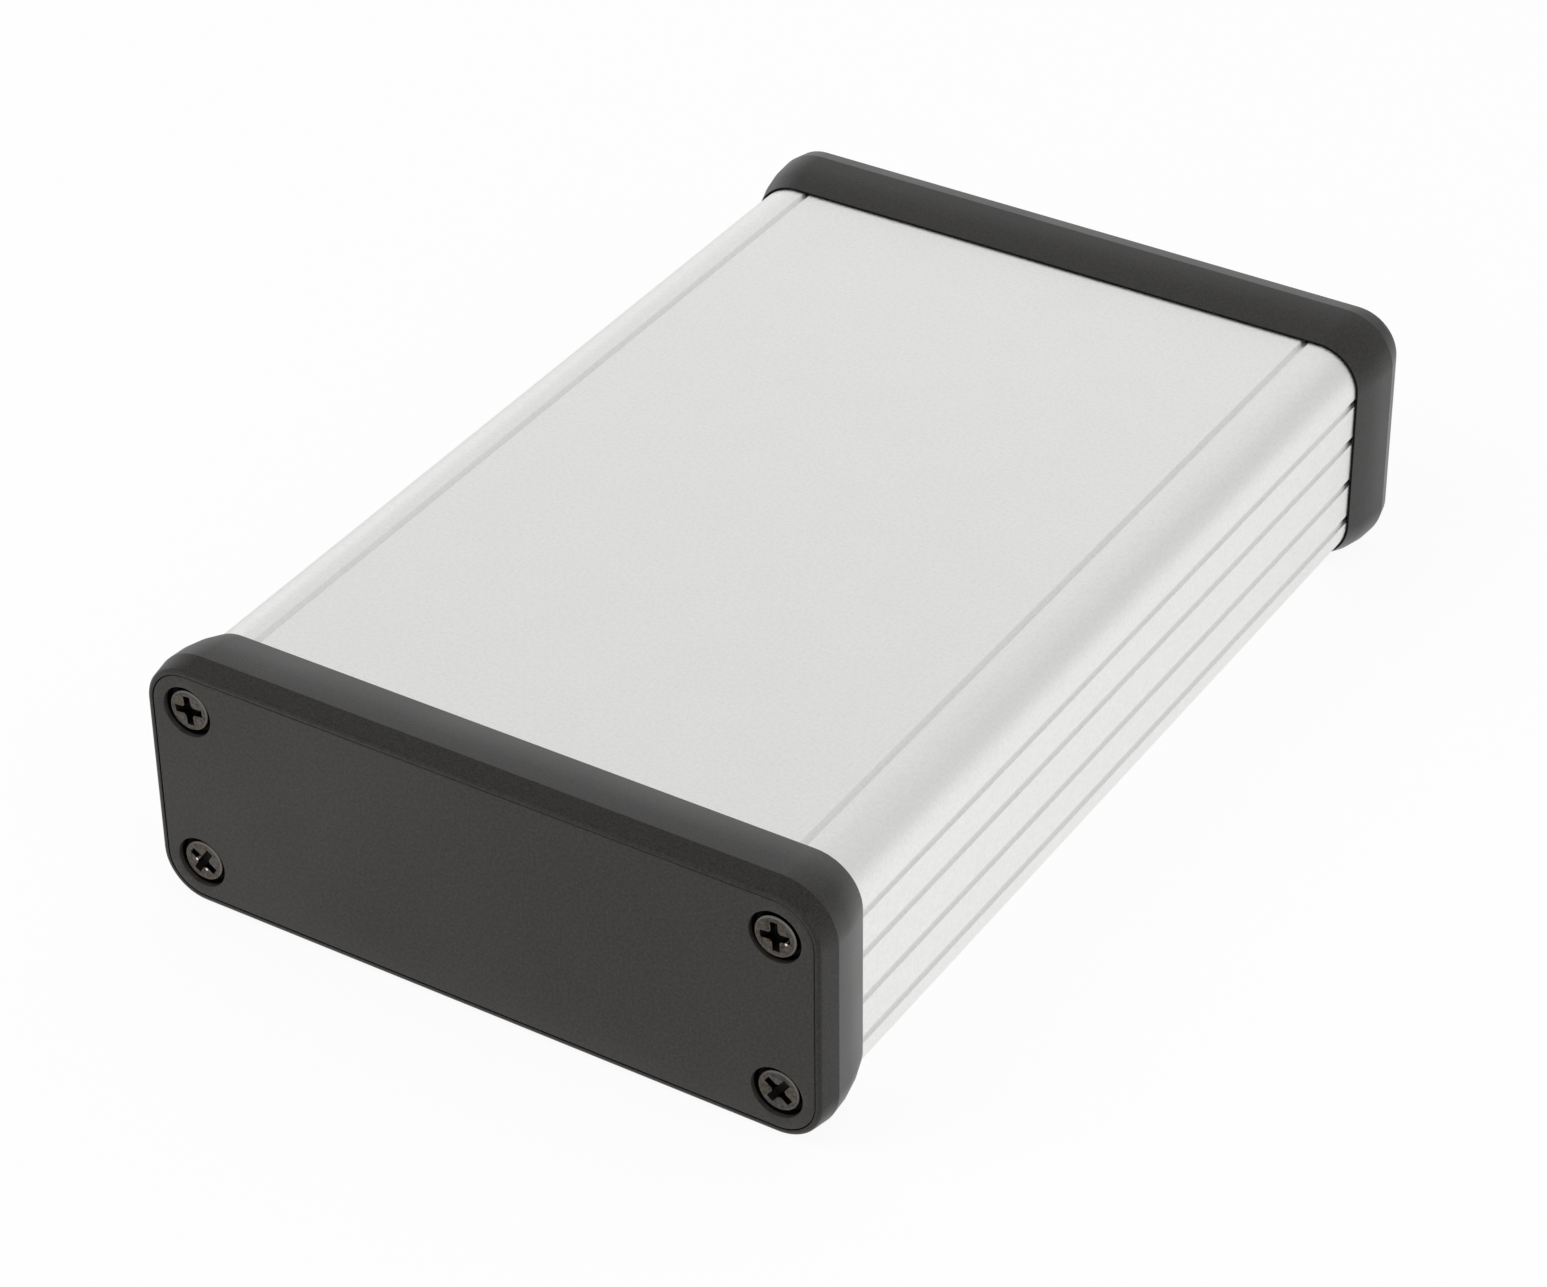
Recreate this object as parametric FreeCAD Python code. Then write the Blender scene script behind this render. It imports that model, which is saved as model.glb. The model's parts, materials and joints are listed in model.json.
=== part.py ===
import FreeCAD, Part
import math
import os

from FreeCAD import Rotation, Vector

# An extruded aluminium instrument case with a slide-out belly plate. Each end has a moulded
# bezel and an end panel, held by four screws. Sizes are in millimetres. X runs across the case,
# Y along it with the front towards -Y, and Z up. The case stands on the bezels at Z = 0.

# Extruded body
body_width = 78.0
body_height = 27.4
body_length = 120.0
body_corner_radius = 5.0
body_wall = 1.5
screw_edge_distance = 4.15
screw_channel_wall = 1.05
screw_channel_mouth = 1.5

# Grooves outside, card guides inside
seam_inset = 6.5
top_groove_width = 0.9
top_groove_depth = 0.45
side_groove_offsets = (2.8, 7.75)
side_groove_radius = 0.48
board_thickness = 1.6
board_clearance = 0.4
card_rib_thickness = 1.1
card_rib_reach = 1.5

# Belly plate and the slot that it slides in
belly_lip_thickness = 0.85
belly_tongue_thickness = 0.8
belly_tongue_reach = 1.5
belly_side_clearance = 0.1
belly_slide_clearance = 0.1
belly_end_clearance = 0.1

# Bezel: distances out from the body's outline, and lengths along the case
bezel_overlap = 6.5
bezel_sleeve_clearance = 0.05
bezel_back_proud = 0.25
bezel_back_corner_radius = 5.2
bezel_crest_proud = 1.45
bezel_crest_from_back = 6.37
bezel_crest_corner_radius = 6.1
bezel_flare_steps = 3
bezel_nose_proud = 0.8
bezel_nose_round = 0.4
bezel_nose_round_steps = 2
bezel_shelf_thickness = 0.8
bezel_shelf_width = 2.2

# End panel
panel_thickness = 1.5
panel_proud = 0.15
panel_corner_radius = 4.3
panel_gap = 0.08
panel_edge_break = 0.1
panel_boss_wall = 0.55
panel_boss_clearance = 0.08
panel_hole_clearance = 0.2

# Screws
screw_head_diameter = 4.72
screw_head_height = 1.15
screw_seat_depth = 1.44
screw_head_gap = 0.575
screw_head_chamfer = 0.15
screw_shank_diameter = 2.6
screw_shank_length = 8.0
screw_shank_clearance = 0.05
recess_span = 3.35
recess_floor_span = 2.4
recess_arm_width = 0.8
recess_depth = 0.8
recess_core_width = 1.5
recess_core_floor_width = 1.2

# How far each screw is turned, in degrees, and sunk: upper left, upper right, lower right, lower left
front_screw_turns = (6.0, 5.0, -37.0, -33.0)
front_screw_sinks = (0.29, 0.03, 0.29, 0.27)
rear_screw_turns = (33.0, -19.0, 12.0, 40.0)
rear_screw_sinks = (0.29, 0.27, 0.29, 0.12)

# Edges are picked by the plane that they lie in, to within this distance
plane_tolerance = 0.01

# Places that follow from the sizes
side_x = body_width / 2
underside_z = bezel_crest_proud
middle_z = underside_z + body_height / 2
top_z = underside_z + body_height
body_front_y = -body_length / 2
panel_back_y = body_front_y - bezel_shelf_thickness
panel_face_y = panel_back_y - panel_thickness
bezel_back_y = body_front_y + bezel_overlap
bezel_crest_y = bezel_back_y - bezel_crest_from_back
seam_x = side_x - seam_inset
belly_slot_bottom_z = underside_z + belly_lip_thickness
belly_plate_top_z = belly_slot_bottom_z + belly_tongue_thickness
belly_slot_top_z = belly_plate_top_z + belly_slide_clearance
card_slot_offset = side_groove_offsets[0]
screw_bore_radius = screw_shank_diameter / 2 + screw_shank_clearance
screw_channel_radius = screw_bore_radius + screw_channel_wall
counterbore_radius = screw_head_diameter / 2 + screw_head_gap
panel_boss_radius = counterbore_radius + panel_boss_wall
screw_seat_y = panel_face_y + screw_seat_depth
screw_x = side_x - screw_edge_distance
screw_upper_z = top_z - screw_edge_distance
screw_lower_z = underside_z + screw_edge_distance
screw_places = [
    (-screw_x, screw_upper_z),
    (screw_x, screw_upper_z),
    (screw_x, screw_lower_z),
    (-screw_x, screw_lower_z),
]


def outline(growth, corner_radius, y):
    """Rounded rectangle in the plane at Y: the body's outline, grown by a distance on every side."""
    right = side_x + growth
    top = body_height / 2 + growth
    half_turn_edges = []
    for reach, rise, turn in ((right, top, 0), (top, right, 90)):
        side = Part.makeLine(Vector(reach, 0, corner_radius - rise), Vector(reach, 0, rise - corner_radius))
        corner_centre = Vector(reach - corner_radius, 0, rise - corner_radius)
        corner = Part.makeCircle(corner_radius, corner_centre, Vector(0, -1, 0), 0, 90)
        for edge in (side, corner):
            edge.rotate(Vector(0, 0, 0), Vector(0, -1, 0), turn)
            half_turn_edges.append(edge)
    opposite_edges = [edge.copy() for edge in half_turn_edges]
    for edge in opposite_edges:
        edge.rotate(Vector(0, 0, 0), Vector(0, -1, 0), 180)
    wire = Part.Wire(half_turn_edges + opposite_edges)
    wire.translate(Vector(0, y, middle_z))
    return wire


def outline_bar(growth, corner_radius, y_from, y_to):
    """Solid bar along Y whose section is the grown outline."""
    return Part.Face(outline(growth, corner_radius, y_from)).extrude(Vector(0, y_to - y_from, 0))


def body_bar(growth, y_from, y_to):
    """Bar whose outline follows the body's own, corners included."""
    return outline_bar(growth, body_corner_radius + growth, y_from, y_to)


def cylinders(places, radius, y_from, y_to):
    """One cylinder along Y at each (x, z) place."""
    length = y_to - y_from
    return [Part.makeCylinder(radius, length, Vector(x, y_from, z), Vector(0, 1, 0)) for x, z in places]


def polygon(points):
    """Flat face in the plane Y = 0 through (x, z) points."""
    corners = [Vector(x, 0, z) for x, z in points]
    return Part.Face(Part.makePolygon(corners + corners[:1]))


def rectangle(x_from, x_to, z_from, z_to):
    return polygon([(x_from, z_from), (x_to, z_from), (x_to, z_to), (x_from, z_to)])


def disc(x, z, radius):
    return Part.Face(Part.Wire(Part.makeCircle(radius, Vector(x, 0, z), Vector(0, 1, 0))))


def bars(sections, length):
    """Each flat section drawn out along Y, centred on the middle of the case."""
    drawn = [section.extrude(Vector(0, length, 0)) for section in sections]
    for bar in drawn:
        bar.translate(Vector(0, -length / 2, 0))
    return drawn


def single_solid(shape):
    """The one solid that a boolean result holds, with faces that lie in one surface joined."""
    return shape.removeSplitter().Solids[0]


def edges_in_plane(shape, y):
    """The edges of a shape that lie in the plane at Y."""
    low = y - plane_tolerance
    high = y + plane_tolerance
    return [edge for edge in shape.Edges if edge.BoundBox.YMin > low and edge.BoundBox.YMax < high]


def screw_channel_stock(x, z):
    """Round boss of a screw channel, with the metal that ties it into the body's corner."""
    corner_x = math.copysign(side_x, x)
    corner_z = top_z if z > middle_z else underside_z
    sections = [disc(x, z, screw_channel_radius), rectangle(x, corner_x, z, corner_z)]
    if z < middle_z:
        sections.append(rectangle(x, math.copysign(seam_x, x), belly_slot_top_z, z))
    return sections


def screw_channel_bore(x, z):
    """Bore of a screw channel and the mouth that leaves it open to the inside."""
    mouth = rectangle(-screw_channel_mouth / 2, screw_channel_mouth / 2, 0, 2 * screw_channel_radius)
    inward_x = -math.copysign(1, x)
    inward_z = -math.copysign(1, z - middle_z)
    lean = math.degrees(math.atan2(inward_x, inward_z))
    mouth.rotate(Vector(0, 0, 0), Vector(0, 1, 0), lean)
    mouth.translate(Vector(x, 0, z))
    return [disc(x, z, screw_bore_radius), mouth]


def card_guide_ribs():
    """Ribs on both side walls, in pairs that each hold one edge of a circuit board."""
    ribs = []
    rib_offset = (board_thickness + board_clearance + card_rib_thickness) / 2
    for side in (-1, 1):
        root_x = side * (side_x - body_wall / 2)
        tip_x = side * (side_x - body_wall - card_rib_reach)
        for slot in (-1, 1):
            slot_z = middle_z + slot * card_slot_offset
            for edge in (-1, 1):
                rib_z = slot_z + edge * rib_offset
                half = card_rib_thickness / 2
                ribs.append(rectangle(root_x, tip_x, rib_z - half, rib_z + half))
    return ribs


def outer_grooves():
    """Shallow V grooves along the top's edges and round-bottomed ones along each side."""
    grooves = []
    half = top_groove_width / 2
    for side in (-1, 1):
        groove_x = side * seam_x
        grooves.append(polygon([
            (groove_x - half, top_z),
            (groove_x + half, top_z),
            (groove_x, top_z - top_groove_depth),
        ]))
        for offset in side_groove_offsets:
            grooves.append(disc(side * side_x, middle_z + offset, side_groove_radius))
            grooves.append(disc(side * side_x, middle_z - offset, side_groove_radius))
    return grooves


def belly_opening():
    """The gap between the body's lower corners and the slots that hold the belly plate."""
    gap = rectangle(-seam_x, seam_x, underside_z, belly_slot_top_z)
    slot_reach = seam_x + belly_tongue_reach + belly_side_clearance
    slot = rectangle(-slot_reach, slot_reach, belly_slot_bottom_z, belly_slot_top_z)
    return [gap, slot]


def make_body_extrusion():
    outer = body_bar(0, body_front_y, -body_front_y)
    cavity = body_bar(-body_wall, body_front_y, -body_front_y)
    stock = card_guide_ribs()
    cuts = outer_grooves() + belly_opening()
    for x, z in screw_places:
        stock += screw_channel_stock(x, z)
        cuts += screw_channel_bore(x, z)
    body = outer.cut(cavity).fuse(bars(stock, body_length)).common(outer)
    return single_solid(body.cut(bars(cuts, body_length)))


def make_belly_plate():
    """Flush plate whose two side tongues lie on the lips of the body's slots."""
    half_width = seam_x - belly_side_clearance
    tongue_reach = seam_x + belly_tongue_reach
    plate = rectangle(-half_width, half_width, underside_z, belly_plate_top_z)
    tongues = rectangle(-tongue_reach, tongue_reach, belly_slot_bottom_z, belly_plate_top_z)
    plate_bar, tongue_bar = bars([plate, tongues], body_length - 2 * belly_end_clearance)
    return single_solid(plate_bar.fuse(tongue_bar))


def arc_points(before, corner, after, radius, steps):
    """Points along the arc that rounds the corner between two straight runs."""
    towards_before = (before - corner).normalize()
    towards_after = (after - corner).normalize()
    half_angle = towards_before.getAngle(towards_after) / 2
    centre = corner + (towards_before + towards_after).normalize() * (radius / math.sin(half_angle))
    spoke = corner + towards_before * (radius / math.tan(half_angle)) - centre
    turn = Rotation(spoke, corner + towards_after * (radius / math.tan(half_angle)) - centre)
    return [centre + Rotation(turn.Axis, math.degrees(turn.Angle) * step / steps).multVec(spoke)
            for step in range(steps + 1)]


def bezel_flare_sections():
    """Outlines that rise from the lip at the back to the crest, along an arc that is level at the crest."""
    run = bezel_crest_from_back
    rise = bezel_crest_proud - bezel_back_proud
    arc_radius = (run ** 2 + rise ** 2) / (2 * rise)
    full_angle = math.asin(run / arc_radius)
    corner_radius_change = bezel_back_corner_radius - bezel_crest_corner_radius
    sections = []
    for step in range(bezel_flare_steps, -1, -1):
        angle = full_angle * step / bezel_flare_steps
        drop = arc_radius * (1 - math.cos(angle))
        corner_radius = bezel_crest_corner_radius + corner_radius_change * drop / rise
        y = bezel_crest_y + arc_radius * math.sin(angle)
        sections.append(outline(bezel_crest_proud - drop, corner_radius, y))
    return sections


def bezel_nose_sections():
    """Outlines that round the nose over, from its sloping side to the flat round the panel."""
    crest = Vector(bezel_crest_proud, bezel_crest_y, 0)
    nose = Vector(bezel_nose_proud, panel_face_y, 0)
    panel_edge = Vector(panel_proud, panel_face_y, 0)
    sections = []
    for point in arc_points(crest, nose, panel_edge, bezel_nose_round, bezel_nose_round_steps):
        growth, y, _ = point
        sections.append(outline(growth, panel_corner_radius + growth - panel_proud, y))
    return sections


def make_front_bezel():
    """Rim that flares to a crest and draws in to its nose, with a shelf that seats on the body's end."""
    rim = Part.makeLoft(bezel_flare_sections() + bezel_nose_sections(), True, True)
    pocket_proud = panel_proud + panel_gap
    pocket_corner_radius = panel_corner_radius + panel_gap
    sleeve = body_bar(bezel_sleeve_clearance, body_front_y, bezel_back_y)
    window = body_bar(-bezel_shelf_width, panel_back_y, body_front_y)
    pocket = outline_bar(pocket_proud, pocket_corner_radius, panel_face_y, panel_back_y)
    scallop_radius = panel_boss_radius + panel_boss_clearance
    scallops = cylinders(screw_places, scallop_radius, panel_back_y, body_front_y)
    return single_solid(rim.cut([sleeve, window, pocket] + scallops))


def make_front_panel():
    """Moulded plate with a boss behind it at each screw, which reaches the body's end."""
    plate = outline_bar(panel_proud, panel_corner_radius, panel_face_y, panel_back_y)
    plate = plate.makeChamfer(panel_edge_break, edges_in_plane(plate, panel_face_y))
    body_end = body_bar(0, panel_back_y, body_front_y)
    bosses = cylinders(screw_places, panel_boss_radius, panel_back_y, body_front_y)
    counterbores = cylinders(screw_places, counterbore_radius, panel_face_y, screw_seat_y)
    hole_radius = screw_shank_diameter / 2 + panel_hole_clearance
    holes = cylinders(screw_places, hole_radius, screw_seat_y, body_front_y)
    panel = plate.fuse([boss.common(body_end) for boss in bosses])
    return single_solid(panel.cut(counterbores + holes))


def screw_blank():
    """Turned form of a screw: flat head with a broken edge and a plain shank, its axis along Z."""
    head_radius = screw_head_diameter / 2
    shank_radius = screw_shank_diameter / 2
    seat_z = -screw_head_height
    end_z = seat_z - screw_shank_length
    half_section = polygon([
        (0, 0),
        (head_radius - screw_head_chamfer, 0),
        (head_radius, -screw_head_chamfer),
        (head_radius, seat_z),
        (shank_radius, seat_z),
        (shank_radius, end_z),
        (0, end_z),
    ])
    return half_section.revolve(Vector(0, 0, 0), Vector(0, 0, 1), 360)


def tapered_slot(top_span, floor_span, width):
    """Slot sunk from Z = 0, as long as top_span there and drawn in to floor_span at its floor."""
    slot = polygon([
        (-top_span / 2, 0),
        (top_span / 2, 0),
        (floor_span / 2, -recess_depth),
        (-floor_span / 2, -recess_depth),
    ]).extrude(Vector(0, width, 0))
    slot.translate(Vector(0, -width / 2, 0))
    return slot


def screw_recess():
    """Cross recess: two tapered slots, and a square core that cuts the corners between them."""
    slots = [tapered_slot(recess_span, recess_floor_span, recess_arm_width) for _ in range(2)]
    slots[1].rotate(Vector(0, 0, 0), Vector(0, 0, 1), 90)
    core = tapered_slot(recess_core_width, recess_core_floor_width, recess_core_width)
    core.rotate(Vector(0, 0, 0), Vector(0, 0, 1), 45)
    return slots + [core]


def make_front_screws(turns, sinks):
    """The four screws of one end, as a group of separate solids."""
    screws = []
    for (x, z), turn, sink in zip(screw_places, turns, sinks):
        screw = single_solid(screw_blank().cut(screw_recess()))
        screw.rotate(Vector(0, 0, 0), Vector(0, 0, 1), turn)
        screw.rotate(Vector(0, 0, 0), Vector(1, 0, 0), 90)
        screw.translate(Vector(x, panel_face_y + sink, z))
        screws.append(screw)
    return Part.makeCompound(screws)


def at_rear(shape):
    """The same piece at the other end of the case, turned half a circle about the upright axis."""
    turned = shape.copy()
    turned.rotate(Vector(0, 0, 0), Vector(0, 0, 1), 180)
    return turned


front_bezel = make_front_bezel()
front_panel = make_front_panel()
nodes = {
    "body_extrusion": make_body_extrusion(),
    "belly_plate": make_belly_plate(),
    "front_bezel": front_bezel,
    "rear_bezel": at_rear(front_bezel),
    "front_panel": front_panel,
    "rear_panel": at_rear(front_panel),
    "front_screws": make_front_screws(front_screw_turns, front_screw_sinks),
    "rear_screws": at_rear(make_front_screws(rear_screw_turns, rear_screw_sinks)),
}

os.makedirs("parts", exist_ok=True)
for name, shape in nodes.items():
    shape.exportStep(f"parts/{name}.step")
    print(f"{name}: valid {shape.isValid()}, {len(shape.Solids)} solids, {shape.Volume / 1000:.3f} cm3")
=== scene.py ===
import json
import math

import bpy
from mathutils import Matrix, Vector

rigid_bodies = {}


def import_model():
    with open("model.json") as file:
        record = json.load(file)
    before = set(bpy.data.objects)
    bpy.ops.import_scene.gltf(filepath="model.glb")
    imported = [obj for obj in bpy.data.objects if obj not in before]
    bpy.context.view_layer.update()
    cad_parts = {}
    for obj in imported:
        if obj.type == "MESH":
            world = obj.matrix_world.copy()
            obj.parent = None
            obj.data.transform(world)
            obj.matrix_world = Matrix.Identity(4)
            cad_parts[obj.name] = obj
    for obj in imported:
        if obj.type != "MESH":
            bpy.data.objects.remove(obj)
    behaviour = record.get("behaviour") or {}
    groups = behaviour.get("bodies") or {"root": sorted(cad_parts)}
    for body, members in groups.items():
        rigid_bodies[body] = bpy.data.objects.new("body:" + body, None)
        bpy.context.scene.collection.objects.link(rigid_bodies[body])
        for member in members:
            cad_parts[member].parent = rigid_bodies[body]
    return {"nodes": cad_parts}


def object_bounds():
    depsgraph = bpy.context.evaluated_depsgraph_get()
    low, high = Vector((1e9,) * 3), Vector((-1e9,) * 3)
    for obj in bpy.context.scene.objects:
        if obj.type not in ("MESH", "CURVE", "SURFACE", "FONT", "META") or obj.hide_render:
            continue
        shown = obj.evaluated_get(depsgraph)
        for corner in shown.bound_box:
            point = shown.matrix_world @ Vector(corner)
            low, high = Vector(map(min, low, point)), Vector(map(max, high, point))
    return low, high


# Looks of the extruded aluminium instrument case. Every length is in metres, in the CAD frame.
MM = 0.001

for leftover in list(bpy.data.objects):
    bpy.data.objects.remove(leftover)

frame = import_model()
nodes = frame["nodes"]
cad_low, cad_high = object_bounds()

# Places on the case: the bezel's lip and crest and the panel's face along it, the screws across it and up
LIP_Y = 53.5 * MM
CREST_Y = 59.87 * MM
PANEL_FACE_Y = cad_high.y
SCREW_X = 34.85 * MM
SCREW_Z = (5.6 * MM, 24.7 * MM)

# Places, across and up, of painted glints: bright spots painted on the front screws' recesses where light
# catches their walls
PAINTED_GLINT_PLACES = ((-35.68 * MM, 5.55 * MM), (-34.53 * MM, 4.63 * MM), (36.09 * MM, 24.3 * MM))

# Camera, fitted to the outlines in the photograph
CAMERA_PLACE = (0.21397, -0.34614, 0.29417)
CAMERA_FORWARD = (-0.45182, 0.69335, -0.56136)
CAMERA_RIGHT = (0.84399, 0.53608, -0.01718)
CAMERA_SHIFT = (0.0379, -0.0476)
LENS_MM = 106.348
SENSOR_MM = 36.0
NEAREST_SEEN = 0.01
FARTHEST_SEEN = 20.0

# World and floor
WHITE = (1.0, 1.0, 1.0, 1.0)
SKY_COLOUR = (0.98, 0.99, 1.0, 1.0)
SKY_STRENGTH = 0.62
FLOOR_COLOUR = (0.97, 0.97, 0.97, 1.0)
FLOOR_SIDE = 6.0
FLOOR_SEEN_WHITE = 0.92

# Cards: name, place, point that it faces, width, height and grey level
CARDS = (
    ("card_above", (0, 0, 1.1), (0, 0, 0), 2.4, 2.4, 0.69),
    ("card_right", (1.06, 1.06, 0.6), (0, 0, 0.3), 1.7, 1.1, 0.7),
    # The two cards lying on the floor, at the left and in front, are painted shadow: darker sheets that
    # glossy surfaces reflect where the floor beside the case would lie in its shade.
    ("painted_shadow_card_left", (-0.115, 0.075, 0.0005), (-0.115, 0.075, 1), 0.14, 0.18, 0.6),
    ("painted_shadow_card_front", (0.065, -0.165, 0.0005), (0.065, -0.165, 1), 0.18, 0.2, 0.82),
)

# Lamps: name, place, side of the square and watts, and the point that they face
LAMPS = (
    ("key", (-0.55, -0.75, 1.0), 0.9, 5.5),
    ("fill", (0.9, -0.2, 0.7), 0.8, 2.5),
)
LAMP_TARGET = (0, 0, 0.01)


def link_object(name, data):
    """New object in the scene that shows a mesh, a lamp or a camera."""
    made = bpy.data.objects.new(name, data)
    bpy.context.scene.collection.objects.link(made)
    return made


# Camera
def make_camera():
    camera_data = bpy.data.cameras.new("camera")
    camera_data.sensor_width = SENSOR_MM
    camera_data.lens = LENS_MM
    camera_data.shift_x, camera_data.shift_y = CAMERA_SHIFT
    camera_data.clip_start = NEAREST_SEEN
    camera_data.clip_end = FARTHEST_SEEN
    camera = link_object("camera", camera_data)
    forward = Vector(CAMERA_FORWARD).normalized()
    right = Vector(CAMERA_RIGHT)
    right = (right - forward * right.dot(forward)).normalized()
    up = right.cross(forward)
    turn = Matrix((right, up, -forward)).transposed().to_4x4()
    camera.matrix_world = Matrix.Translation(Vector(CAMERA_PLACE)) @ turn
    bpy.context.scene.camera = camera


make_camera()
bpy.context.scene.view_settings.view_transform = "Standard"


# Light
def aim(thing, place, target, axis):
    """Puts a thing at a place, with one of its axes towards a target."""
    thing.location = place
    thing.rotation_mode = "QUATERNION"
    thing.rotation_quaternion = (Vector(target) - Vector(place)).to_track_quat(axis, "Y")


def rectangle(name, width, height):
    """Flat mesh round its own origin, facing its own Z."""
    mesh = bpy.data.meshes.new(name)
    across, up = width / 2, height / 2
    corners = [(-across, -up, 0), (across, -up, 0), (across, up, 0), (-across, up, 0)]
    mesh.from_pydata(corners, [], [(0, 1, 2, 3)])
    return mesh


def bare_material(name):
    """Material, its tree and its output, with nothing else in the tree."""
    material = bpy.data.materials.new(name)
    material.use_nodes = True
    tree = material.node_tree
    tree.nodes.clear()
    return material, tree, tree.nodes.new("ShaderNodeOutputMaterial")


def coloured(tree, kind, colour):
    """Shader node of a kind, in one colour."""
    made = tree.nodes.new(kind)
    made.inputs["Color"].default_value = colour
    return made


def link_mix(tree, share, first, second, output):
    """Mix of two shader nodes, linked to the tree's output."""
    mix = tree.nodes.new("ShaderNodeMixShader")
    tree.links.new(share, mix.inputs[0])
    tree.links.new(first.outputs[0], mix.inputs[1])
    tree.links.new(second.outputs[0], mix.inputs[2])
    tree.links.new(mix.outputs[0], output.inputs["Surface"])


def seen_directly(tree):
    """Output that is 1 for camera, glossy and transmission rays, and 0 for the rest."""
    path = tree.nodes.new("ShaderNodeLightPath")
    total = path.outputs["Is Camera Ray"]
    for name in ("Is Glossy Ray", "Is Transmission Ray"):
        either = tree.nodes.new("ShaderNodeMath")
        either.operation = "MAXIMUM"
        tree.links.new(total, either.inputs[0])
        tree.links.new(path.outputs[name], either.inputs[1])
        total = either.outputs[0]
    return total


def make_world():
    """World that lights the case evenly, and is white where it is seen."""
    world = bpy.data.worlds.new("studio")
    bpy.context.scene.world = world
    world.use_nodes = True
    tree = world.node_tree
    tree.nodes.clear()
    output = tree.nodes.new("ShaderNodeOutputWorld")
    sky = coloured(tree, "ShaderNodeBackground", SKY_COLOUR)
    sky.inputs["Strength"].default_value = SKY_STRENGTH
    seen = coloured(tree, "ShaderNodeBackground", WHITE)
    link_mix(tree, seen_directly(tree), sky, seen, output)


def make_floor():
    """Pale floor that keeps the case's shadow, and is nearly white where it is seen."""
    mesh = rectangle("floor", FLOOR_SIDE, FLOOR_SIDE)
    floor = link_object("floor", mesh)
    material, tree, output = bare_material("floor")
    pale = coloured(tree, "ShaderNodeBsdfDiffuse", FLOOR_COLOUR)
    white = coloured(tree, "ShaderNodeEmission", WHITE)
    share = tree.nodes.new("ShaderNodeMath")
    share.operation = "MULTIPLY"
    share.inputs[1].default_value = FLOOR_SEEN_WHITE
    tree.links.new(seen_directly(tree), share.inputs[0])
    link_mix(tree, share.outputs[0], pale, white, output)
    mesh.materials.append(material)


def make_card(name, place, facing, width, height, glow):
    """Grey card, seen only in reflections, where it gives metal and plastic their shading."""
    mesh = rectangle(name, width, height)
    card = link_object(name, mesh)
    aim(card, place, facing, "Z")
    card.visible_camera = False
    card.visible_diffuse = False
    card.visible_shadow = False
    card.visible_transmission = False
    material, tree, output = bare_material(name)
    grey = coloured(tree, "ShaderNodeEmission", (glow, glow, glow, 1.0))
    tree.links.new(grey.outputs[0], output.inputs["Surface"])
    mesh.materials.append(material)


def make_lamp(name, place, side, watts):
    """Square lamp without a mirror image, because the cards alone shade the glossy surfaces."""
    light_data = bpy.data.lights.new(name, "AREA")
    light_data.shape = "SQUARE"
    light_data.size = side
    light_data.energy = watts
    light = link_object(name, light_data)
    aim(light, place, LAMP_TARGET, "-Z")
    light.visible_glossy = False


make_world()
make_floor()
for card_row in CARDS:
    make_card(*card_row)
for lamp_row in LAMPS:
    make_lamp(*lamp_row)

# What a band maps to, and the mix node's colour inputs and output
RISE = (0.0, 1.0)
FALL = (1.0, 0.0)
MIX_COLOUR_INPUTS = (6, 7)
MIX_COLOUR_OUTPUT = 2

# Values that the materials share: the black of painted shade, and gloss levels for lit parts and for parts
# under painted shade
PAINTED_SHADE_BLACK = (0.002, 0.002, 0.002)
GLOSS_LEVELS = (0.5, 0.1)
TURNED_AWAY_BAND = (0.5, 0.35)
NOISE_BAND = (0.3, 0.7)

# Aluminium. Noises give scale, detail and roughness, and reliefs give depth and strength.
ETCH_NOISE = (2600.0, 3.0, 0.6)
ETCH_RELIEF = (0.01 * MM, 0.35)
ETCH_ROUGHNESS = (0.40, 0.52)
DIE_LINE_NOISE = (2200.0, 3.0, 0.6)
DIE_LINE_RELIEF = (0.004 * MM, 0.25)
DIE_LINE_STRETCH = (1.0, 0.012, 1.0)
CLOUD_NOISE = (160.0, 4.0, 0.55)
CLOUD_BAND = (0.35, 0.65)
CLOUD_TONES = (0.994, 1.004)
SPECK_BAND = (0.42, 0.7)
SPECK_SHARES = (0.0, 0.3)
SPECK_TONE = 0.82
BODY_COLOUR = (0.88, 0.88, 0.865)
BELLY_COLOUR = (0.86, 0.86, 0.845)

# Plastic
PLASTIC_IOR = 1.5
PLASTIC_GRAIN_DETAIL = (3.0, 0.6)
PLASTIC_GRAIN_BAND = (0.37, 0.67)
PLASTIC_GRAIN_TONES = (0.45, 2.3)
PLASTIC_CLOUD_NOISE = (90.0, 3.0, 0.5)
PLASTIC_GLOSS_SPREAD = 0.03
BEZEL_COLOUR = (0.0095, 0.0082, 0.0072)
BEZEL_ROUGHNESS = 0.36
BEZEL_GRAIN_SCALE = 4200.0
BEZEL_RELIEF = (0.006 * MM, 1.0)
# Band along the case over which the bezel's lip is painted in shadow
LIP_SHADE_BAND = (LIP_Y + 0.01 * MM, LIP_Y + 0.05 * MM)
NOSE_BAND = (CREST_Y - 0.05 * MM, CREST_Y + 0.05 * MM)
NOSE_DULLING = (0.0, 0.15)
PANEL_COLOUR = (0.0102, 0.0082, 0.0064)
PANEL_ROUGHNESS = 0.5
PANEL_GRAIN_SCALE = 3000.0
PANEL_RELIEF = (0.01 * MM, 1.0)
# Painted light on the panel's side faces, and the depths below its face that are painted in shade
PANEL_WALL_PAINTED_LIGHT = (0.024, 0.022, 0.02)
PANEL_PAINTED_SHADE_DEPTHS = (PANEL_FACE_Y - 0.45 * MM, PANEL_FACE_Y - 0.65 * MM)

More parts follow.
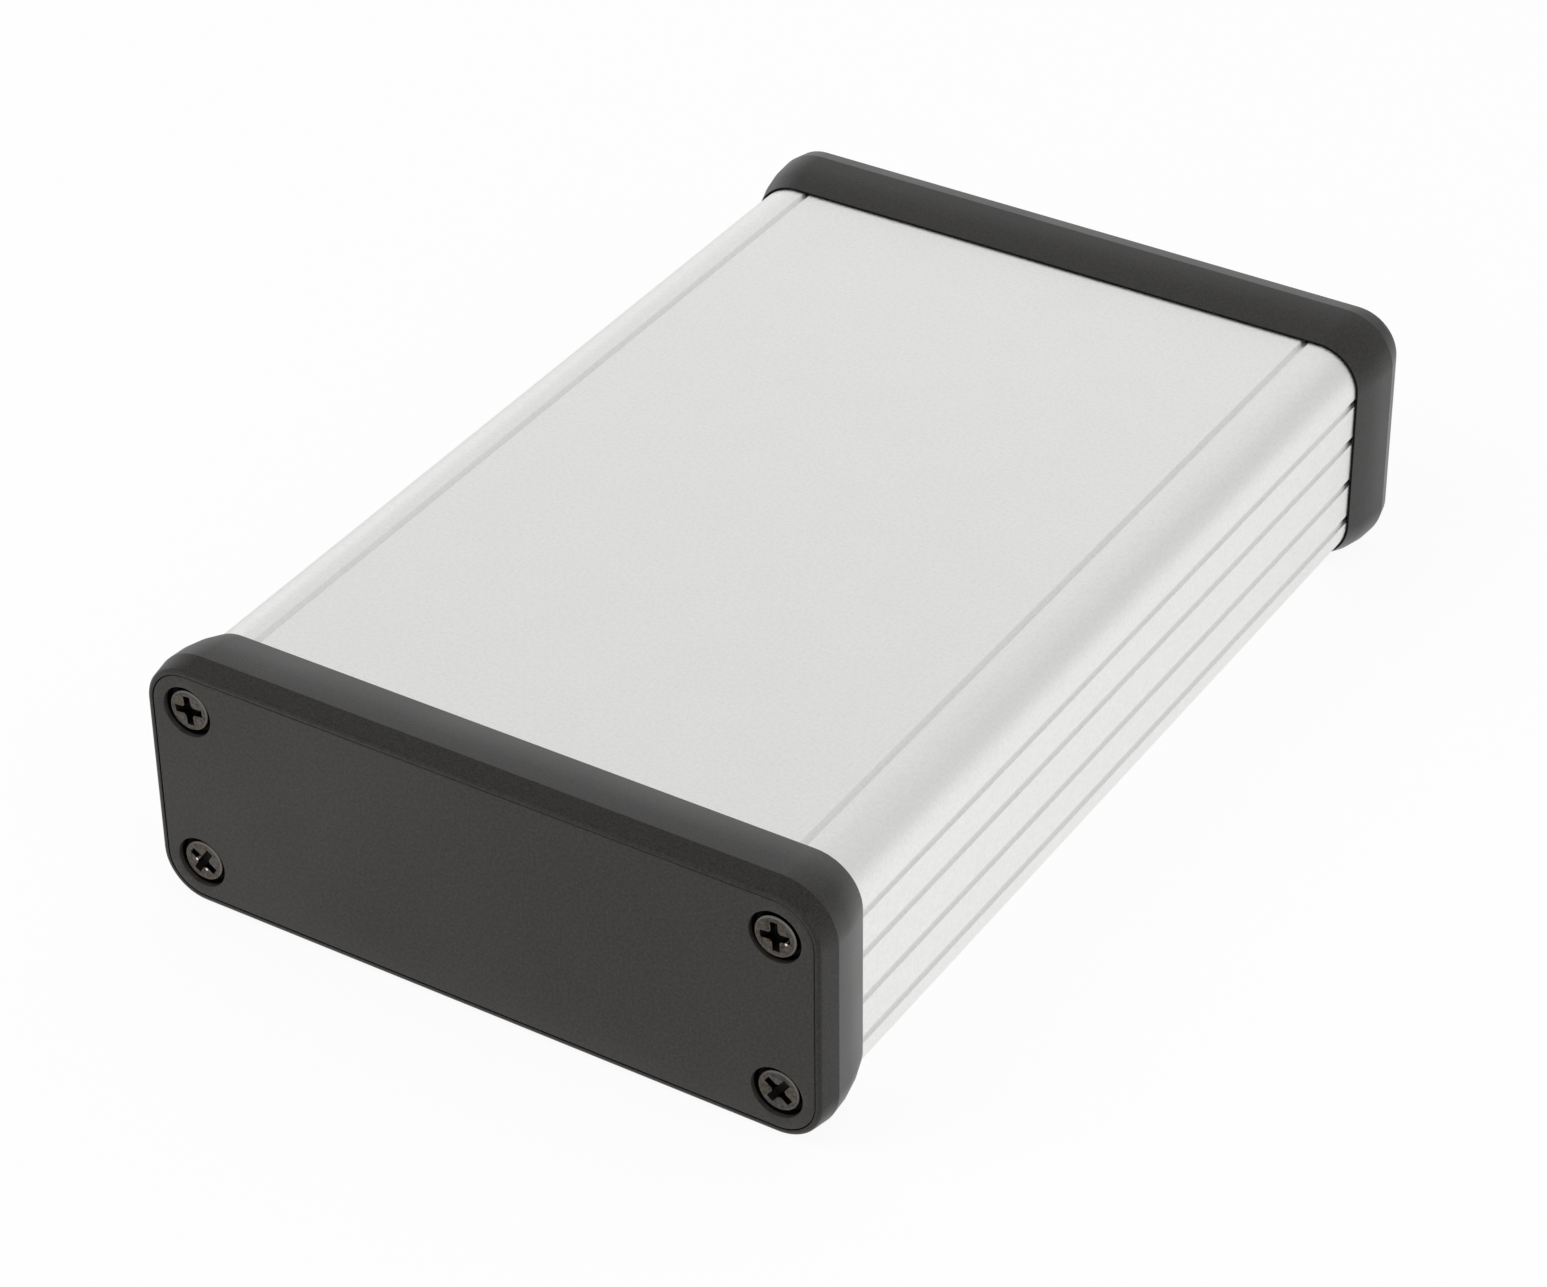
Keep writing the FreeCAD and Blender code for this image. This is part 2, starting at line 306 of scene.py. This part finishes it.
# Screws
PLATING_NOISE = (2400.0, 4.0, 0.7)
PLATING_BAND = (0.36, 0.64)
PLATING_RELIEF = (0.01 * MM, 0.4)
PLATING_ROUGHNESS = (0.3, 0.48)
PLATING_COOL = ((0.038, 0.036, 0.035), (0.12, 0.115, 0.108))
PLATING_WARM = ((0.048, 0.039, 0.032), (0.13, 0.108, 0.086))
TINT_NOISE = (420.0, 2.0, 0.5)
TINT_BAND = (0.4, 0.6)
# Painted highlight in a ring along the screw head's rim
RIM_BAND = (2.12 * MM, 2.22 * MM)
RIM_SHARES = (0.0, 0.8)
RIM_PAINTED_HIGHLIGHT = (0.19, 0.18, 0.165)
# Painted shade on the head's sides, in its recess and on parts sunk deep
RECESS_RADIUS_BAND = (1.85 * MM, 1.95 * MM)
RECESS_SLOPE_BAND = (0.85, 0.7)
SUNK_BAND = (0.6 * MM, 0.8 * MM)
SCREW_PAINTED_SHADE = (0.006, 0.0055, 0.005)
# Painted glints, on the front screws only
FRONT_BAND = (-1.0 * MM, 1.0 * MM)
PAINTED_GLINT_BAND = (0.09 * MM, 0.19 * MM)
PAINTED_GLINT_COLOUR = (0.85, 0.84, 0.82)
RING_SPACING = 0.09 * MM
RING_RELIEF = (0.004 * MM, 0.3)


# Materials
def toned(colour, factor):
    """Colour made lighter or darker by a factor."""
    return tuple(channel * factor for channel in colour)


class Shader:
    """A Principled material being put together, with short calls for the nodes that it uses."""

    def __init__(self, name):
        self.material = bpy.data.materials.new(name)
        self.material.use_nodes = True
        self.tree = self.material.node_tree
        self.bsdf = self.tree.nodes["Principled BSDF"]
        self.place = self.node("ShaderNodeTexCoord").outputs["Object"]

    def node(self, kind, **settings):
        made = self.tree.nodes.new(kind)
        for key, value in settings.items():
            setattr(made, key, value)
        return made

    def link(self, start, end):
        self.tree.links.new(start, end)

    def set(self, name, value):
        self.bsdf.inputs[name].default_value = value

    def feed(self, name, output):
        self.link(output, self.bsdf.inputs[name])

    def stretched(self, scale):
        """Places on the case, scaled along each axis."""
        mapping = self.node("ShaderNodeMapping")
        mapping.inputs["Scale"].default_value = scale
        self.link(self.place, mapping.inputs["Vector"])
        return mapping.outputs[0]

    def axes(self, vector):
        """The X, Y and Z of a vector."""
        split = self.node("ShaderNodeSeparateXYZ")
        self.link(vector, split.inputs[0])
        return split.outputs

    def noise(self, vector, scale, detail, roughness):
        made = self.node("ShaderNodeTexNoise")
        made.inputs["Scale"].default_value = scale
        made.inputs["Detail"].default_value = detail
        made.inputs["Roughness"].default_value = roughness
        self.link(vector, made.inputs["Vector"])
        return made.outputs["Fac"]

    def ranged(self, value, band, results=RISE):
        """Value mapped from the two ends of a band to two results, and held at them outside it."""
        made = self.node("ShaderNodeMapRange")
        for key, number in zip(("From Min", "From Max", "To Min", "To Max"), (*band, *results)):
            made.inputs[key].default_value = number
        self.link(value, made.inputs["Value"])
        return made.outputs[0]

    def math(self, operation, *values):
        made = self.node("ShaderNodeMath", operation=operation)
        for slot, value in enumerate(values):
            if isinstance(value, (int, float)):
                made.inputs[slot].default_value = value
            else:
                self.link(value, made.inputs[slot])
        return made.outputs[0]

    def away(self, first, second):
        """Distance between two points, from what lies between them in two directions."""
        squares = self.math("ADD", self.math("POWER", first, 2.0), self.math("POWER", second, 2.0))
        return self.math("SQRT", squares)

    def blend(self, share, first, second):
        """Mix of two colours, where each is a tuple or an output."""
        made = self.node("ShaderNodeMix", data_type="RGBA")
        self.link(share, made.inputs[0])
        for slot, value in zip(MIX_COLOUR_INPUTS, (first, second)):
            if isinstance(value, tuple):
                made.inputs[slot].default_value = (*value, 1.0)
            else:
                self.link(value, made.inputs[slot])
        return made.outputs[MIX_COLOUR_OUTPUT]

    def frontal(self):
        """Output that is 1 where the surface faces along the case, and 0 where it faces across it."""
        normal = self.node("ShaderNodeNewGeometry").outputs["True Normal"]
        return self.math("ABSOLUTE", self.axes(normal)["Y"])

    def bump(self, height, distance, strength, under=None):
        """Relief from a height, laid over another relief where one is given."""
        made = self.node("ShaderNodeBump")
        made.inputs["Distance"].default_value = distance
        made.inputs["Strength"].default_value = strength
        self.link(height, made.inputs["Height"])
        if under is not None:
            self.link(under, made.inputs["Normal"])
        return made.outputs[0]


def anodised_aluminium(name, colour):
    """Clear-anodised extrusion: matt etched grain, faint die lines along the case, cloudy tone."""
    shader = Shader(name)
    shader.set("Metallic", 1.0)
    etch = shader.noise(shader.place, *ETCH_NOISE)
    cloud = shader.noise(shader.place, *CLOUD_NOISE)
    die_lines = shader.noise(shader.stretched(DIE_LINE_STRETCH), *DIE_LINE_NOISE)
    dark, light = [toned(colour, factor) for factor in CLOUD_TONES]
    cloudy = shader.blend(shader.ranged(cloud, CLOUD_BAND), dark, light)
    specks = shader.ranged(etch, SPECK_BAND, SPECK_SHARES)
    shader.feed("Base Color", shader.blend(specks, cloudy, toned(colour, SPECK_TONE)))
    shader.feed("Roughness", shader.ranged(etch, NOISE_BAND, ETCH_ROUGHNESS))
    etched = shader.bump(etch, *ETCH_RELIEF)
    shader.feed("Normal", shader.bump(die_lines, *DIE_LINE_RELIEF, etched))
    return shader.material


def moulded_plastic(name, colour, roughness, grain_scale, relief):
    """Black moulded plastic, with fine spark-eroded grain and uneven gloss, and the colour to go on from."""
    shader = Shader(name)
    shader.set("IOR", PLASTIC_IOR)
    grain = shader.noise(shader.place, grain_scale, *PLASTIC_GRAIN_DETAIL)
    cloud = shader.noise(shader.place, *PLASTIC_CLOUD_NOISE)
    dark, light = [toned(colour, factor) for factor in PLASTIC_GRAIN_TONES]
    spread = (roughness - PLASTIC_GLOSS_SPREAD, roughness + PLASTIC_GLOSS_SPREAD)
    shader.feed("Roughness", shader.ranged(cloud, NOISE_BAND, spread))
    shader.feed("Normal", shader.bump(grain, *relief))
    return shader, shader.blend(shader.ranged(grain, PLASTIC_GRAIN_BAND), dark, light)


def bezel_plastic(name):
    """Plastic of a bezel, with painted shadow on its lip and its nose a little duller than its flare."""
    shader, colour = moulded_plastic(name, BEZEL_COLOUR, BEZEL_ROUGHNESS, BEZEL_GRAIN_SCALE, BEZEL_RELIEF)
    along = shader.math("ABSOLUTE", shader.axes(shader.place)["Y"])
    # Painted shadow: the lip's face and the bezel inside it are painted nearly black, with lowered gloss,
    # where shade falls between lip and aluminium.
    shade = shader.ranged(along, LIP_SHADE_BAND, FALL)
    nose = shader.ranged(along, NOSE_BAND, NOSE_DULLING)
    level = shader.math("SUBTRACT", shader.ranged(shade, RISE, GLOSS_LEVELS), nose)
    shader.feed("Specular IOR Level", level)
    shader.feed("Base Color", shader.blend(shade, colour, PAINTED_SHADE_BLACK))
    return shader.material


def panel_plastic(name):
    """Plastic of a panel, with painted light on its side faces, the counterbore walls among them, and
    painted shade, black, deep down in the counterbores.
    """
    shader, colour = moulded_plastic(name, PANEL_COLOUR, PANEL_ROUGHNESS, PANEL_GRAIN_SCALE, PANEL_RELIEF)
    along = shader.math("ABSOLUTE", shader.axes(shader.place)["Y"])
    # Painted light: side faces, the counterbore walls among them, are painted paler, as if catching light
    # from above.
    wall = shader.ranged(shader.frontal(), TURNED_AWAY_BAND)
    # Painted shade: deep in the counterbores the plastic is painted black, with lowered gloss.
    deep_painted_shade = shader.ranged(along, PANEL_PAINTED_SHADE_DEPTHS)
    walls_painted_light = shader.blend(wall, colour, PANEL_WALL_PAINTED_LIGHT)
    shader.feed("Specular IOR Level", shader.ranged(deep_painted_shade, RISE, GLOSS_LEVELS))
    shader.feed("Base Color", shader.blend(deep_painted_shade, walls_painted_light, PAINTED_SHADE_BLACK))
    return shader.material


def plated_steel(name):
    """Dark plated screw: mottled turned face, painted highlight on the rim, painted shade on the sides and
    in the recess, painted glints in the recess.
    """
    shader = Shader(name)
    shader.set("Metallic", 1.0)
    place = shader.axes(shader.place)
    middle = sum(SCREW_Z) / 2
    x_off = shader.math("SUBTRACT", shader.math("ABSOLUTE", place["X"]), SCREW_X)
    from_middle = shader.math("ABSOLUTE", shader.math("SUBTRACT", place["Z"], middle))
    z_off = shader.math("SUBTRACT", from_middle, SCREW_Z[1] - middle)
    radius = shader.away(x_off, z_off)
    depth = shader.math("SUBTRACT", PANEL_FACE_Y, shader.math("ABSOLUTE", place["Y"]))
    frontal = shader.frontal()

    mottle = shader.noise(shader.place, *PLATING_NOISE)
    tint = shader.noise(shader.place, *TINT_NOISE)
    spots = shader.ranged(mottle, PLATING_BAND)
    cool = shader.blend(spots, *PLATING_COOL)
    warm = shader.blend(spots, *PLATING_WARM)
    colour = shader.blend(shader.ranged(tint, TINT_BAND), cool, warm)
    # Painted highlight: a lighter ring along the head's rim.
    colour = shader.blend(shader.ranged(radius, RIM_BAND, RIM_SHARES), colour, RIM_PAINTED_HIGHLIGHT)

    # Painted shade: the head's side faces, its recess and all that lies deeper than the sunk band are
    # painted nearly black.
    upright = shader.ranged(frontal, TURNED_AWAY_BAND)
    central = shader.ranged(radius, RECESS_RADIUS_BAND, FALL)
    in_recess = shader.math("MULTIPLY", central, shader.ranged(frontal, RECESS_SLOPE_BAND))
    sunk = shader.ranged(depth, SUNK_BAND)
    painted_shade = shader.math("MAXIMUM", shader.math("MAXIMUM", upright, in_recess), sunk)
    colour = shader.blend(painted_shade, colour, SCREW_PAINTED_SHADE)

    # Painted glints: bright spots painted at given places on the front screws' recesses.
    front = shader.ranged(place["Y"], FRONT_BAND, FALL)
    for x, z in PAINTED_GLINT_PLACES:
        x_away = shader.math("SUBTRACT", place["X"], x)
        z_away = shader.math("SUBTRACT", place["Z"], z)
        glint = shader.ranged(shader.away(x_away, z_away), PAINTED_GLINT_BAND, FALL)
        colour = shader.blend(shader.math("MULTIPLY", glint, front), colour, PAINTED_GLINT_COLOUR)

    shader.feed("Base Color", colour)
    shader.feed("Roughness", shader.ranged(mottle, NOISE_BAND, PLATING_ROUGHNESS))
    rings = shader.math("SINE", shader.math("MULTIPLY", radius, 2 * math.pi / RING_SPACING))
    turned = shader.bump(rings, *RING_RELIEF)
    shader.feed("Normal", shader.bump(mottle, *PLATING_RELIEF, turned))
    return shader.material


body_detail = anodised_aluminium("body_aluminium_detail", BODY_COLOUR)
belly_detail = anodised_aluminium("belly_aluminium_detail", BELLY_COLOUR)
bezel_detail = bezel_plastic("bezel_plastic_detail")
panel_detail = panel_plastic("panel_plastic_detail")
screw_detail = plated_steel("screw_steel_detail")

# Rounded edges: widths, and the angles and distances that choose and weigh the edges
WIDE_BEVEL = 0.08 * MM
PANEL_BEVEL = 0.05 * MM
SCREW_BEVEL = 0.04 * MM
BEVEL_SEGMENTS = 2
WELD_DISTANCE = 0.001 * MM
SHARP_ANGLE = math.radians(28.0)
BENT_ANGLE = math.radians(3.0)
RING_REACH = 0.01 * MM
BEZEL_RINGS = ((LIP_Y, 0.3), (CREST_Y, 0.5), (PANEL_FACE_Y, 0.4))
STRONGEST_WEIGHT = 100


def wider_than(group, angle, limit):
    """Output that is true where an edge is bent by more than a limit."""
    wider = group.nodes.new("FunctionNodeCompare")
    wider.inputs[1].default_value = limit
    group.links.new(angle, wider.inputs[0])
    return wider.outputs[0]


def both_true(group, first, second):
    """Output that is true where two others are."""
    both = group.nodes.new("FunctionNodeBooleanMath")
    both.operation = "AND"
    group.links.new(first, both.inputs[0])
    group.links.new(second, both.inputs[1])
    return both.outputs[0]


def edges_at(group, y):
    """Output that is true for edges whose two ends both lie at a distance Y from the middle of the case."""
    position = group.nodes.new("GeometryNodeInputPosition")
    split = group.nodes.new("ShaderNodeSeparateXYZ")
    group.links.new(position.outputs[0], split.inputs[0])
    along = group.nodes.new("ShaderNodeMath")
    along.operation = "ABSOLUTE"
    group.links.new(split.outputs["Y"], along.inputs[0])
    near = group.nodes.new("ShaderNodeMath")
    near.operation = "COMPARE"
    near.inputs[1].default_value = y
    near.inputs[2].default_value = RING_REACH
    group.links.new(along.outputs[0], near.inputs[0])
    ends = group.nodes.new("GeometryNodeInputMeshEdgeVertices")
    near_ends = []
    for end in ("Vertex Index 1", "Vertex Index 2"):
        at_end = group.nodes.new("GeometryNodeFieldAtIndex")
        at_end.domain = "POINT"
        at_end.data_type = "FLOAT"
        group.links.new(ends.outputs[end], at_end.inputs["Index"])
        group.links.new(near.outputs[0], at_end.inputs["Value"])
        near_ends.append(at_end.outputs[0])
    return both_true(group, *near_ends)


def edge_choice(name, rings=()):
    """Geometry nodes that shade a mesh smooth, weigh its sharp edges whole and its rings by their share."""
    group = bpy.data.node_groups.new(name, "GeometryNodeTree")
    group.interface.new_socket("Geometry", in_out="INPUT", socket_type="NodeSocketGeometry")
    group.interface.new_socket("Geometry", in_out="OUTPUT", socket_type="NodeSocketGeometry")
    start = group.nodes.new("NodeGroupInput")
    end = group.nodes.new("NodeGroupOutput")
    angle = group.nodes.new("GeometryNodeInputMeshEdgeAngle").outputs["Unsigned Angle"]
    weight = wider_than(group, angle, SHARP_ANGLE)
    for y, share in rings:
        on_ring = both_true(group, edges_at(group, y), wider_than(group, angle, BENT_ANGLE))
        switch = group.nodes.new("GeometryNodeSwitch")
        switch.input_type = "FLOAT"
        group.links.new(on_ring, switch.inputs["Switch"])
        group.links.new(weight, switch.inputs["False"])
        switch.inputs["True"].default_value = share
        weight = switch.outputs[0]
    smooth = group.nodes.new("GeometryNodeSetShadeSmooth")
    store = group.nodes.new("GeometryNodeStoreNamedAttribute")
    store.data_type = "FLOAT"
    store.domain = "EDGE"
    store.inputs["Name"].default_value = "bevel_weight_edge"
    group.links.new(start.outputs[0], smooth.inputs["Geometry"])
    group.links.new(smooth.outputs[0], store.inputs["Geometry"])
    group.links.new(weight, store.inputs["Value"])
    group.links.new(store.outputs[0], end.inputs[0])
    return group


def dress(node, width, choice, finish):
    """Rounds a node's chosen edges and gives it its finish."""
    piece = nodes[node]
    weld = piece.modifiers.new("weld", "WELD")
    weld.merge_threshold = WELD_DISTANCE
    choose = piece.modifiers.new("choose", "NODES")
    choose.node_group = choice
    bevel = piece.modifiers.new("bevel", "BEVEL")
    bevel.width = width
    bevel.segments = BEVEL_SEGMENTS
    bevel.limit_method = "WEIGHT"
    bevel.use_clamp_overlap = False
    bevel.harden_normals = False
    normals = piece.modifiers.new("normals", "WEIGHTED_NORMAL")
    normals.mode = "FACE_AREA"
    normals.weight = STRONGEST_WEIGHT
    normals.keep_sharp = False
    for slot in piece.material_slots:
        slot.material = finish


plain_choice = edge_choice("sharp_edges")
bezel_choice = edge_choice("sharp_edges_and_rings", BEZEL_RINGS)
dress("body_extrusion", WIDE_BEVEL, plain_choice, body_detail)
dress("belly_plate", WIDE_BEVEL, plain_choice, belly_detail)
dress("front_bezel", WIDE_BEVEL, bezel_choice, bezel_detail)
dress("rear_bezel", WIDE_BEVEL, bezel_choice, bezel_detail)
dress("front_panel", PANEL_BEVEL, plain_choice, panel_detail)
dress("rear_panel", PANEL_BEVEL, plain_choice, panel_detail)
dress("front_screws", SCREW_BEVEL, plain_choice, screw_detail)
dress("rear_screws", SCREW_BEVEL, plain_choice, screw_detail)
